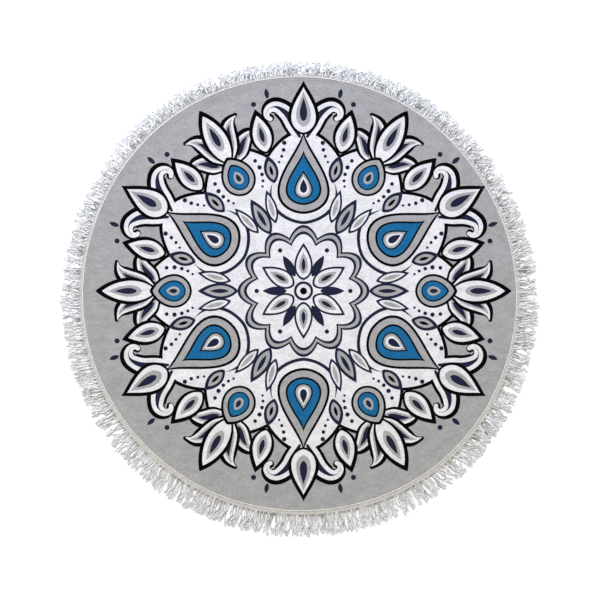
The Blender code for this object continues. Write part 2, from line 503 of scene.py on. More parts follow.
def draw_drops(sheet):
    """A round blue drop between rows of dots, and the small leaves below it, on each side axis."""
    sheet.nested(
        SIDE,
        (10, "navy", 204, 330, 50, 0.8, 1.0),
        (11, "ground", 215, 312, 34, 0.8, 1.0),
        (12, "navy", 232, 292, 13, 0.9, 1.0),
        (10, "black", 348, 480, 106, 0.55, 0.75),
        (11, "ground", 355, 470, 92, 0.55, 0.75),
        (12, "black", 367, 454, 67, 0.55, 0.75),
        (13, "blue", 371, 448, 58, 0.55, 0.75),
        (14, "ground", 386, 428, 29, 0.55, 0.75),
        (15, "navy", 394, 420, 14, 0.6, 0.8),
    )
    for layer, ink, start, end, width in (
        (9, "navy", 4, 112, 36),
        (10, "white", 14, 98, 24),
        (11, "ground", 26, 86, 13),
    ):
        sheet.put(layer, ink, set_at(222, 30, 14, petal(start, end, width, 0.8, 1.0)), SIDE, True)
    for reach, turn, size in (
        (350, 8.6, 4),
        (366, 9.8, 5),
        (386, 10.4, 6),
        (409, 10.4, 7),
        (433, 9.6, 6),
    ):
        sheet.put(10, "navy", set_at(0.0, 0.0, turn, disc(reach, 0, size)), SIDE, True)


def draw_rosette(sheet):
    """The almond petals in the middle, inside a double scalloped ring."""
    for layer, ink, radius, depth in (
        (6.0, "navy", 206, 0.17),
        (6.1, "ground", 197, 0.175),
        (6.2, "navy", 186, 0.18),
        (6.3, "white", 177, 0.185),
    ):
        sheet.put(layer, ink, scallops(radius, 12, depth))
    sheet.nested(
        MAIN,
        (10, "navy", 34, 150, 58, 0.62, 1.0),
        (11, "white", 41, 138, 46, 0.62, 1.0),
        (12, "ground", 54, 120, 27, 0.62, 1.0),
        (13, "navy", 64, 104, 12, 0.7, 1.0),
    )
    sheet.put(10, "navy", petal(52, 128, 27, 0.8, 1.0), SIDE)
    sheet.put(10, "navy", disc(146, 0, 7), SIDE)
    for layer, ink, radius in ((12, "navy", 30), (13, "white", 22), (14, "black", 11)):
        sheet.put(layer, ink, disc(0, 0, radius, 40))


def print_outlines():
    """The whole print in the frame, in metres, in the order that its inks go on."""
    sheet = Print()
    for draw in (draw_ground, draw_palmettes, draw_buds, draw_fans, draw_lanterns, draw_drops, draw_rosette):
        draw(sheet)
    middle_x, middle_y = MIDDLE_X + PRINT_OFFSET[0], MIDDLE_Y + PRINT_OFFSET[1]
    scale = PRINT_SCALE * MM
    return [
        (ink, [(middle_x + x * scale, middle_y + y * scale) for x, y in outline])
        for ink, outline in sheet.in_order()
    ]


# ---------------------------------------------------------------- node trees and meshes

# The kinds of node that come up most.
MATH = "ShaderNodeMath"
VECTOR_MATH = "ShaderNodeVectorMath"
COMBINE = "ShaderNodeCombineXYZ"
SEPARATE = "ShaderNodeSeparateXYZ"
MAP_RANGE = "ShaderNodeMapRange"
MIX = "ShaderNodeMix"
NOISE = "ShaderNodeTexNoise"
SHADE = "ShaderNodeHueSaturation"
PLACE = "ShaderNodeTexCoord"
ATTRIBUTE = "ShaderNodeAttribute"
SET_POSITION = "GeometryNodeSetPosition"

LIGHT_TINT_REACH = 0.6  # how far below and above the frame's middle the painted tint of light is at its full


def add_node(tree, kind, *inputs, **settings):
    """Adds a node. settings are its properties. inputs are values to set or places to link from, in the
    order of its sockets in use, or one dict of them by the sockets' names. A node that is given as an
    input stands for its first output in use."""
    made = tree.nodes.new(kind)
    for name, value in settings.items():
        setattr(made, name, value)
    if inputs and isinstance(inputs[0], dict):
        pairs = [(made.inputs[name], value) for name, value in inputs[0].items()]
    else:
        pairs = zip([socket for socket in made.inputs if socket.enabled], inputs)
    for socket, value in pairs:
        if isinstance(value, bpy.types.Node):
            value = next(output for output in value.outputs if output.enabled)
        if isinstance(value, bpy.types.NodeSocket):
            tree.links.new(value, socket)
        else:
            socket.default_value = value
    return made


def new_material(name):
    """An empty material, and add_node for its tree."""
    material = bpy.data.materials.new(name)
    material.use_nodes = True
    material.node_tree.nodes.clear()
    return material, partial(add_node, material.node_tree)


def finish_material(node, shade, relief, finish, depth, strength):
    """Ends a material's tree in its shader: its colour, its relief as a bump so many metres deep, and its
    finish, the values that are the same all over."""
    bump = node("ShaderNodeBump", {"Height": relief, "Distance": depth, "Strength": strength})
    surface = {"Base Color": shade, "Normal": bump, "Metallic": 0.0, **finish}
    node("ShaderNodeOutputMaterial", {"Surface": node("ShaderNodeBsdfPrincipled", surface)})


def painted_light_tint(node, shade, low_tint, high_tint):
    """The colour with a painted tint of light: warmer light at the towel's bottom, cooler light at its top.
    """
    height = node(SEPARATE, node(PLACE).outputs["Object"]).outputs["Y"]
    share = node(MAP_RANGE, height, -LIGHT_TINT_REACH, LIGHT_TINT_REACH, 0.0, 1.0)
    light_tint = node(MIX, share, linear(low_tint), linear(high_tint), data_type="RGBA")
    return node(MIX, 1.0, shade, light_tint, data_type="RGBA", blend_type="MULTIPLY")


def new_tree(name, sizes):
    """A Geometry Nodes tree with a geometry input and output and the named inputs for its sizes in
    between, and add_node for it."""
    tree = bpy.data.node_groups.new(name, "GeometryNodeTree")
    tree.interface.new_socket("Geometry", in_out="INPUT", socket_type="NodeSocketGeometry")
    for size, kind in sizes.items():
        tree.interface.new_socket(size, in_out="INPUT", socket_type=f"NodeSocket{kind}")
    tree.interface.new_socket("Geometry", in_out="OUTPUT", socket_type="NodeSocketGeometry")
    return tree, partial(add_node, tree)


def finish_tree(node, geometry, material):
    """Ends a tree in real, smooth geometry of one material."""
    real = node("GeometryNodeRealizeInstances", {"Geometry": geometry})
    smooth = node("GeometryNodeSetShadeSmooth", {"Geometry": real})
    dressed = node("GeometryNodeSetMaterial", {"Geometry": smooth, "Material": material})
    node("NodeGroupOutput", {"Geometry": dressed})


def set_tree(target, tree, values):
    """Puts a tree on an object, with its inputs set by their identifiers."""
    modifier = target.modifiers.new(tree.name, "NODES")
    modifier.node_group = tree
    identifiers = {item.name: item.identifier for item in tree.interface.items_tree if item.in_out == "INPUT"}
    for name, value in values.items():
        modifier[identifiers[name]] = value


def new_object(name, data, materials=()):
    for material in materials:
        data.materials.append(material)
    made = bpy.data.objects.new(name, data)
    bpy.context.scene.collection.objects.link(made)
    return made


def points_object(name, places, attributes):
    """Loose points that carry a number each for every attribute."""
    mesh = bpy.data.meshes.new(name)
    mesh.from_pydata([tuple(place) for place in places], [], [])
    for attribute, values in attributes.items():
        mesh.attributes.new(attribute, "FLOAT", "POINT").data.foreach_set("value", values)
    return new_object(name, mesh)


def made_plain(source, name):
    """The evaluated result of an object's Geometry Nodes as a plain mesh object in its place."""
    bpy.context.view_layer.update()
    mesh = bpy.data.meshes.new_from_object(source.evaluated_get(bpy.context.evaluated_depsgraph_get()))
    mesh.name = name
    old_mesh = source.data
    bpy.data.objects.remove(source, do_unlink=True)
    bpy.data.meshes.remove(old_mesh)
    return new_object(name, mesh)


def ride(piece, slot, *nodes):
    """What every piece of the towel is to the frame."""
    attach(piece, BODY)
    if nodes:
        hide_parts(*nodes)


# ---------------------------------------------------------------- materials


def printed_velour():
    """Sheared cotton velour with reactive-ink printing. The sheared pile is matt with a faint sheen, and
    its lie, brushed on a slant, mottles every ink by some parts in a hundred."""
    material, node = new_material("Printed cotton velour")
    place = node(PLACE).outputs["Object"]
    # The pile is brushed on a slant of 38 degrees, and its marks are 1.8 times as long as they are wide.
    slant = {"Vector": place, "Rotation": (0.0, 0.0, math.radians(-38.0)), "Scale": (0.55, 1.0, 1.0)}
    slanted = node("ShaderNodeMapping", slant)
    # Streaks of pile, 5 mm wide.
    streaks = node(NOISE, {"Vector": slanted, "Scale": 1.0 / 0.005, "Detail": 3.0, "Roughness": 0.62})
    # Tufts, 1.6 mm apart.
    tufts = node(NOISE, {"Vector": place, "Scale": 1.0 / 0.0016, "Detail": 2.0})
    # Slow changes of the pile's lie, 26 mm wide.
    lie = node(NOISE, {"Vector": slanted, "Scale": 1.0 / 0.026, "Detail": 3.0})
    # Each pattern darkens and lightens the inks by up to a share, reached so far from its middle value.
    value = 1.0
    for pattern, reach, share in ((streaks, 0.25, 0.18), (tufts, 0.25, 0.08), (lie, 0.20, 0.08)):
        shading = node(MAP_RANGE, pattern, 0.5 - reach, 0.5 + reach, 1.0 - share, 1.0 + share)
        value = node(MATH, value, shading, operation="MULTIPLY")
    ink = node("ShaderNodeVertexColor", layer_name="ink")
    # A painted tint of light goes over the inks: warmer at the towel's bottom, cooler at its top.
    light_tinted = painted_light_tint(node, node(SHADE, {"Color": ink, "Value": value}), "FFFEF7", "FAFAFF")
    relief = node(MATH, streaks, tufts, operation="ADD")
    finish = {"Roughness": 1.0, "Specular IOR Level": 0.05, "Sheen Weight": 0.03, "Sheen Roughness": 0.5}
    finish_material(node, light_tinted, relief, finish, depth=0.0006, strength=0.5)
    return material


def looped_terry():
    """The undyed underside: terry loops 2.4 mm apart, soft, matt and slightly warm."""
    material, node = new_material("Undyed looped terry")
    place = node(PLACE).outputs["Object"]
    loops = node("ShaderNodeTexVoronoi", {"Vector": place, "Scale": 1.0 / 0.0024, "Randomness": 0.55})
    # The colour darkens from each loop's middle to its edge: painted shade between the loops.
    tone = node(MAP_RANGE, loops, 0.1, 0.8, 1.0, 0.72)
    shaded = node(SHADE, {"Color": linear("D9D8D2"), "Value": tone})
    relief = node(MATH, 1.0, loops, operation="SUBTRACT")
    finish = {"Roughness": 0.97, "Specular IOR Level": 0.15, "Sheen Weight": 0.15, "Sheen Roughness": 0.6}
    finish_material(node, shaded, relief, finish, depth=0.0012, strength=0.6)
    return material


def twisted_cotton(cotton):
    """Bleached two-ply cotton, loosely twisted: matt white, each strand a little lighter or darker than
    the next, with the groove between its plies in shade."""
    material, node = new_material("Twisted cotton")
    tone, run, along, painted_shade, light_warmth = (
        node(ATTRIBUTE, attribute_name=name).outputs["Fac"]
        for name in ("tone", "run", "along", "painted_shade", "light_warmth")
    )
    around = node(ATTRIBUTE, attribute_name="around").outputs["Vector"]
    # The plies' grooves wind round the strand once in 9 mm: the angle turns with the run along it. The
    # grooves are painted in shade, deeper where the strand's roots have more painted shade.
    turn = node(MATH, run, math.tau / 0.009, operation="MULTIPLY")
    facing = node(COMBINE, node(MATH, turn, operation="COSINE"), node(MATH, turn, operation="SINE"))
    ply = node(MATH, node(VECTOR_MATH, around, facing, operation="DOT_PRODUCT"), operation="ABSOLUTE")
    groove_shade = node(MAP_RANGE, ply, 0.0, 0.5, node(MAP_RANGE, painted_shade, 0.0, 1.0, 0.88, 0.68), 1.0)
    # The tone changes at random along each strand, over some 9 mm, mostly darker, and only as much as the
    # strand's painted root shade: partly tone, partly painted shade towards the towel's bottom.
    along_yarn = node(MATH, tone, run, operation="ADD")
    slubs = node(NOISE, {"W": along_yarn, "Scale": 1.0 / 0.009, "Detail": 1.0}, noise_dimensions="1D")
    slub_tone = node(MAP_RANGE, slubs, 0.3, 0.7, -0.18, 0.10)
    uneven = node(MAP_RANGE, painted_shade, 0.0, 0.60, 0.0, 1.0)
    slub_tone = node(MATH, slub_tone, uneven, operation="MULTIPLY")
    slub_tone = node(MATH, 1.0, slub_tone, operation="ADD")
    value = node(MATH, groove_shade, slub_tone, operation="MULTIPLY")
    # The darker strands are painted with a tint of light: bluish at the towel's top, yellowish at its bottom
    # and right, by chance in part.
    duller = node(MIX, light_warmth, linear("D3DAEE"), linear("D3D2CD"), data_type="RGBA")
    yarn = node(MIX, tone, duller, cotton, data_type="RGBA")
    # Painted shade at the roots dulls the first two fifths of a strand.
    fading = node(MAP_RANGE, along, 0.05, 0.45, 1.0, 0.0)
    shade_share = node(MATH, painted_shade, fading, operation="MULTIPLY")
    root_shaded = node(MIX, shade_share, yarn, linear("A5A094"), data_type="RGBA")
    shaded = node(SHADE, {"Color": root_shaded, "Value": value})
    finish = {"Roughness": 0.9, "Specular IOR Level": 0.2, "Sheen Weight": 0.35, "Sheen Roughness": 0.5}
    finish_material(node, shaded, ply, finish, depth=0.0005, strength=0.25)
    return material


def woven_tape(tape):
    """Ivory cotton tape in a ribbed weave: matt, each rib crossed by fine threads 1.1 mm apart."""
    material, node = new_material("Woven cotton tape")
    run = node(ATTRIBUTE, attribute_name="run").outputs["Vector"]
    # At a scale of 1, the bands of a wave texture lie tau / 20 apart.
    weave = {"Vector": run, "Scale": math.tau / 20.0 / 0.0011, "Distortion": 1.5, "Detail": 1.0}
    threads = node("ShaderNodeTexWave", weave, bands_direction="Y").outputs["Fac"]
    # Slubs, where the threads run thick or thin, some 7 mm long.
    slubs = node(NOISE, {"Vector": run, "Scale": 1.0 / 0.007, "Detail": 3.0})
    tone = node(MAP_RANGE, threads, 0.0, 1.0, 0.84, 1.0)
    slub_tone = node(MAP_RANGE, slubs, 0.3, 0.7, 0.80, 1.13)
    # The low web beyond the ribs is painted lighter at the towel's top and darker towards its bottom: painted
    # light and painted shade.
    _, across, low = node(SEPARATE, run).outputs
    web = node(MAP_RANGE, across, TAPE_WIDTH, TAPE_WIDTH + WEB_STEP, 0.0, 1.0)
    painted_shade = node(MAP_RANGE, low, 0.0, 1.0, -0.20, 0.22)
    web_shade = node(MATH, 1.0, node(MATH, web, painted_shade, operation="MULTIPLY"), operation="SUBTRACT")
    value = node(MATH, tone, slub_tone, operation="MULTIPLY")
    value = node(MATH, value, web_shade, operation="MULTIPLY")
    # A painted tint of light goes over the tape: warmer at the towel's bottom, cooler at its top.
    light_tinted = painted_light_tint(node, node(SHADE, {"Color": tape, "Value": value}), "FFFCF7", "F8F8FF")
    finish = {"Roughness": 0.9, "Specular IOR Level": 0.2, "Sheen Weight": 0.08}
    finish_material(node, light_tinted, threads, finish, depth=0.0003, strength=0.5)
    return material


def sewing_thread(thread):
    """Grey cotton-wrapped sewing thread: smooth and slightly glossy where it lies across the pile. Its
    fibres are drawn 0.5 mm apart, as the real ones are too fine to show."""
    material, node = new_material("Sewing thread")
    place = node(PLACE).outputs["Object"]
    fibres = node(NOISE, {"Vector": place, "Scale": 1.0 / 0.0005, "Detail": 2.0})
    shaded = node(SHADE, {"Color": thread, "Value": node(MAP_RANGE, fibres, 0.3, 0.7, 0.88, 1.05)})
    finish = {"Roughness": 0.6, "Sheen Weight": 0.05}
    finish_material(node, shaded, fibres, finish, depth=0.0001, strength=0.3)
    return material


def studio_paper():
    """Seamless white background paper: matt, with a faint tooth of 2 mm that hardly shows from here."""
    material, node = new_material("Studio paper")
    place = node(PLACE).outputs["Object"]
    tooth = node(NOISE, {"Vector": place, "Scale": 1.0 / 0.002, "Detail": 2.0})
    shaded = node(SHADE, {"Color": linear("FFFFFF"), "Value": node(MAP_RANGE, tooth, 0.3, 0.7, 0.99, 1.0)})
    finish = {"Roughness": 1.0, "Specular IOR Level": 0.0}
    finish_material(node, shaded, tooth, finish, depth=0.0001, strength=0.1)
    return material


# ---------------------------------------------------------------- the printed cloth

GRID_PITCH = 0.0085  # the cloth's own points, between those of the print's outlines
GRID_MARGIN = 0.0030  # what they keep clear of the hem's last ring
UNDERSIDE_PITCH = 0.0240
UNDERSIDE_MARGIN = 0.0120
UNDERSIDE_INSET = 0.0010  # where the underside meets the floor, in from the folded edge
SAME_PLACE = 1e-6  # points closer together than this are one


def ring_points(inset, count):
    turns = [math.tau * step / count for step in range(count)]
    return [in_frame(turn, inset_radius(turn, inset)).to_2d() for turn in turns]


def grid_points(pitch, least_inset):
    """Points in staggered rows over the cloth, down to a distance in from its edge."""
    row_pitch = pitch * math.sin(math.radians(60.0))
    reach = CLOTH_RADIUS + sum(height for _, height, _ in EDGE_WAVES)
    points = []
    for row in range(-math.ceil(reach / row_pitch), math.ceil(reach / row_pitch) + 1):
        for place in range(-math.ceil(reach / pitch), math.ceil(reach / pitch) + 1):
            x, y = MIDDLE_X + (place + 0.5 * (row % 2)) * pitch, MIDDLE_Y + row * row_pitch
            if inset_at(x, y) > least_inset:
                points.append(Vector((x, y)))
    return points


def meshed(outlines, loose):
    """Triangles over all the outlines, whose edges they keep, and the loose points."""
    points = [Vector(point) for outline in outlines for point in outline]
    edges = []
    first = 0
    for outline in outlines:
        edges += [(first + k, first + (k + 1) % len(outline)) for k in range(len(outline))]
        first += len(outline)
    made, _, faces, *_ = delaunay_2d_cdt(points + loose, edges, [], 0, SAME_PLACE, False)
    return made, faces


def inside(xs, ys, outline):
    """Which of the points lie in an outline, by how often it winds round them."""
    winding = numpy.zeros(len(xs), dtype=int)
    for (ax, ay), (bx, by) in zip(outline, outline[1:] + outline[:1]):
        side = (bx - ax) * (ys - ay) - (by - ay) * (xs - ax)
        winding += ((ay <= ys) & (by > ys) & (side > 0)).astype(int)
        winding -= ((ay > ys) & (by <= ys) & (side < 0)).astype(int)
    return winding != 0


def inks_of(places, outlines):
    """The ink at each place, the last one that was printed over it."""
    xs, ys = (numpy.array([place[axis] for place in places]) for axis in (0, 1))
    inks = numpy.full(len(places), "ground", dtype="U8")
    for ink, outline in outlines:
        across, along = zip(*outline)
        near = (xs > min(across)) & (xs < max(across)) & (ys > min(along)) & (ys < max(along))
        chosen = numpy.flatnonzero(near)
        inks[chosen[inside(xs[chosen], ys[chosen], outline)]] = ink
    return inks


def cloth_mesh(settings):
    """The cloth as one closed sheet, with the ink of each face as a colour attribute."""
    outlines = print_outlines()
    hem_rings = [ring_points(inset, RING_STEPS) for inset, _ in HEM_PROFILE]
    top_points, top_faces = meshed(
        [*hem_rings, *(outline for _, outline in outlines)],
        grid_points(GRID_PITCH, HEM_PROFILE[-1][0] + GRID_MARGIN),
    )
    back_points, back_faces = meshed(
        [hem_rings[0], ring_points(UNDERSIDE_INSET, RING_STEPS)],
        grid_points(UNDERSIDE_PITCH, UNDERSIDE_MARGIN),
    )
    middles = [sum((top_points[k] for k in face), Vector((0.0, 0.0))) / 3.0 for face in top_faces]
    bm = bmesh.new()
    ink_layer = bm.loops.layers.float_color.new("ink")
    top = [bm.verts.new((x, y, thickness(inset_at(x, y)) + lift(x, y))) for x, y in top_points]
    for face, ink in zip(top_faces, inks_of(middles, outlines)):
        made = bm.faces.new([top[k] for k in face])
        for corner in made.loops:
            corner[ink_layer] = getattr(settings, ink)
    edge_height = HEM_PROFILE[0][1]
    back = []
    for x, y in back_points:
        share = max(0.0, 1.0 - inset_at(x, y) / UNDERSIDE_INSET)
        back.append(bm.verts.new((x, y, edge_height * share + max(lift(x, y), 0.0))))
    for face in back_faces:
        made = bm.faces.new([back[k] for k in reversed(face)])
        made.material_index = 1
        for corner in made.loops:
            corner[ink_layer] = settings.white
    bmesh.ops.remove_doubles(bm, verts=bm.verts, dist=SAME_PLACE)
    for face in bm.faces:
        face.smooth = True
    mesh = bpy.data.meshes.new("printed_towel")
    bm.to_mesh(mesh)
    bm.free()
    return mesh


class TOWEL_OT_cloth(bpy.types.Operator):
    """Makes the printed cloth with its turned hem"""

    bl_idname = "towel.cloth"
    bl_label = "Printed cloth"

    def execute(self, context):
        mesh = cloth_mesh(context.scene.towel_print)
        cloth = new_object("printed_towel", mesh, [printed_velour(), looped_terry()])
        ride(cloth, "terry", "towel_cloth")
        return {"FINISHED"}


# ---------------------------------------------------------------- the hem's stitches

STITCH_INSET = 0.0118  # from the folded edge to the row of stitches
STITCH_SHARE = 0.78  # a stitch's length, as a share of the way from stitch to stitch
THREAD_RADIUS = 0.00034
THREAD_SIDES = 5


def stitch_tree(material):
    """A short bowed stitch of thread at each point of a mesh, turned by its attribute."""
    tree, node = new_tree("Hem stitches", {"Stitch length": "Float", "Thread radius": "Float"})
    given = node("NodeGroupInput").outputs
    bow = node(
        "GeometryNodeCurveQuadraticBezier",
        {"Resolution": 4, "Start": (-0.5, 0.0, -0.15), "Middle": (0.0, 0.0, 0.25), "End": (0.5, 0.0, -0.15)},
    )
    bow = node("GeometryNodeTransform", {"Geometry": bow, "Scale": given["Stitch length"]})
    section = {"Resolution": THREAD_SIDES, "Radius": given["Thread radius"]}
    ring = node("GeometryNodeCurvePrimitiveCircle", section)
    thread = node("GeometryNodeCurveToMesh", {"Curve": bow, "Profile Curve": ring, "Fill Caps": True})
    turn = node("GeometryNodeInputNamedAttribute", {"Name": "turn"}, data_type="FLOAT")
    stitches = node(
        "GeometryNodeInstanceOnPoints",
        {"Points": given["Geometry"], "Instance": thread, "Rotation": node(COMBINE, 0.0, 0.0, turn)},
    )
    finish_tree(node, stitches, material)
    return tree


class TOWEL_OT_stitches(bpy.types.Operator):
    """Makes the row of stitches that holds the hem down"""

    bl_idname = "towel.stitches"
    bl_label = "Hem stitches"

    def execute(self, context):
        settings = context.scene.towel_fringe
        count = round(math.tau * CLOTH_RADIUS / settings.stitch_pitch)
        turns = [math.tau * step / count for step in range(count)]
        height = thickness(STITCH_INSET)
        places = [in_frame(turn, inset_radius(turn, STITCH_INSET), height) for turn in turns]
        places = [place + Vector((0.0, 0.0, lift(place.x, place.y))) for place in places]
        roots = points_object("hem_stitch_points", places, {"turn": [turn + math.pi / 2 for turn in turns]})
        sizes = {"Stitch length": STITCH_SHARE * settings.stitch_pitch, "Thread radius": THREAD_RADIUS}
        set_tree(roots, stitch_tree(sewing_thread(settings.thread)), sizes)
        ride(made_plain(roots, "hem_stitches"), "fringe_cotton")
        return {"FINISHED"}


# ---------------------------------------------------------------- the heading tape and the seam cord


def swept_ring(name, sections, materials, runs):
    """A closed mesh through sections that go once round the towel. runs gives each point's place along
    and across the sweep, and how low on the towel it lies, for the materials."""
    bm = bmesh.new()
    run_layer = bm.verts.layers.float_vector.new("run")
    rows = []
    for section, run in zip(sections, runs):
        row = [bm.verts.new(point) for point in section]
        for vertex, place in zip(row, run):
            vertex[run_layer] = place
        rows.append(row)
    for here, there in zip(rows, rows[1:] + rows[:1]):
        for side in range(len(here)):
            after = (side + 1) % len(here)
            bm.faces.new([here[side], here[after], there[after], there[side]]).smooth = True
    bmesh.ops.recalc_face_normals(bm, faces=bm.faces)
    mesh = bpy.data.meshes.new(name)
    bm.to_mesh(mesh)
    bm.free()
    return new_object(name, mesh, materials)


TAPE_WIDTH = 0.0142  # the tape reaches a little over the roots of the strands
TAPE_PROFILE = (
    # share of the tape's width from its inner edge, height, share of the ribs' height
    (0.00, 0.0002, 0.0),
    (0.00, 0.0030, 0.2),
    (0.08, 0.0041, 0.7),
    (0.22, 0.0042, 1.0),
    (0.38, 0.0041, 0.8),
    (0.47, 0.0036, 0.0),
    (0.56, 0.0038, -0.8),
    (0.74, 0.0037, -1.0),
    (0.92, 0.0034, -0.7),
    (1.00, 0.0026, -0.2),
    (1.03, 0.0011, 0.0),
    (1.36, 0.0007, 0.0),
    (1.36, 0.0002, 0.0),
)
WEB_STEP = 0.0006  # the way over which the tape's colour gives way to the web's
RIB_HEIGHT = 0.0010
STEPS_PER_RIB = 4


class TOWEL_OT_heading(bpy.types.Operator):
    """Makes the ribbed heading tape that the strands hang from"""

    bl_idname = "towel.heading"
    bl_label = "Heading tape"

    def execute(self, context):
        settings = context.scene.towel_fringe
        ribs = round(math.tau * CLOTH_RADIUS / settings.rib_pitch)
        count = ribs * STEPS_PER_RIB
        sections, runs = [], []
        for step in range(count):
            turn = math.tau * step / count
            wave = math.cos(math.tau * step / STEPS_PER_RIB)
            root = edge_radius(turn) + SEAM_GAP
            sections.append([
                in_frame(turn, root + share * TAPE_WIDTH, height + RIB_HEIGHT * rib * wave / 2)
                for share, height, rib in TAPE_PROFILE
            ])
            low = 1.0 - topward(turn)
            runs.append([(turn * CLOTH_RADIUS, share * TAPE_WIDTH, low) for share, _, _ in TAPE_PROFILE])
        tape = swept_ring("heading_tape", sections, [woven_tape(settings.tape)], runs)
        ride(tape, "fringe_cotton", "fringe")
        return {"FINISHED"}


CORD_SIDES = 8
CORD_PITCH = 0.0085  # from one ply to the next, along half a turn of the cord
CORD_STEPS_PER_PLY = 4
CORD_WAIST = 0.62  # the cord's narrow width between its two plies, as a share of its width
CORD_RISE = 0.35  # how high the cord's middle lies over the hem, in shares of its half width


class TOWEL_OT_seam_cord(bpy.types.Operator):
    """Makes the two-ply cord that covers the seam between the hem and the heading"""

    bl_idname = "towel.seam_cord"
    bl_label = "Seam cord"

    def execute(self, context):
        settings = context.scene.towel_fringe
        half = settings.cord_width / 2
        count = round(math.tau * CLOTH_RADIUS / CORD_PITCH) * CORD_STEPS_PER_PLY
        height = HEM_THICKNESS + CORD_RISE * half
        sections, runs = [], []
        for step in range(count):
            turn = math.tau * step / count
            twist = math.pi * step / CORD_STEPS_PER_PLY
            middle = edge_radius(turn) + SEAM_GAP / 2
            section, run = [], []
            for side in range(CORD_SIDES):
                angle = math.tau * side / CORD_SIDES
                reach = half * (CORD_WAIST + (1.0 - CORD_WAIST) * abs(math.cos(angle)))
                out, up = reach * math.cos(angle + twist), reach * math.sin(angle + twist)
                section.append(in_frame(turn, middle + out, height + up))
                run.append((turn * CLOTH_RADIUS, angle * half, 0.0))
            sections.append(section)
            runs.append(run)
        cord = swept_ring("seam_cord", sections, [woven_tape(settings.cord)], runs)
        ride(cord, "fringe_cotton", "fringe")
        return {"FINISHED"}


# ---------------------------------------------------------------- the strands

STRAND_PIECES = 4
STRAND_POINTS = 14
LOOP_POINTS = 17
STRAND_SIDES = 5
STRAND_FLATNESS = 0.72  # a strand's thin way through, as a share of its width
LEG_WIDTH = 0.78  # the width of a loop's leg, as a share of a plain strand's
LEG_GAP = 0.0013  # half the height from one leg's middle to the other's where they cross
ROOT_OPENING = 0.25  # how far open a loop is at its root, as a share of its opening
LOOP_POINTEDNESS, LOOP_ROUNDNESS = 0.55, 0.5  # the powers that shape a loop's tip along and across
TIP_WIDTH = 0.80  # how wide a strand's end is, as a share of its width
NARROWS_FROM = 0.80  # the share of its length after which it narrows
TWIST_PITCH = 0.030  # the run in which a strand's flat side turns round once
TILT_STEP = 1.7  # how far its flat side is turned at the root, in radians from one strand to the next
FLOOR_GAP = 0.0001  # the lowest that any strand reaches

# How a strand wanders over its own length. Its crinkle and its ringlets grow from nothing at its root.
CRINKLES = 2.7  # how many times it changes its way
CRINKLE_GROWTH, CURL_GROWTH = 2.6, 1.8  # each is whole where this times the share of the length is 1
CRINKLE_ALONG, CRINKLE_UP = 0.6, 0.15  # the crinkle's reach along and up, as shares of that sideways
DROP_SHARE = 0.30  # the share of its length in which it comes down from its root to its level
ROW_APART = 7.31  # so far apart in the noise, two strands wander each in its own way

STORE = "GeometryNodeStoreNamedAttribute"
# The numbers that the tree reads. The first two come with the strand's pattern, the rest with its root.
STRAND_NUMBERS = (
    "along", "side", "turn", "reach", "looped", "number", "crinkle", "level", "root_height", "bow",
    "curl", "ringlets", "start", "opening", "twists", "phase", "fullness",
)


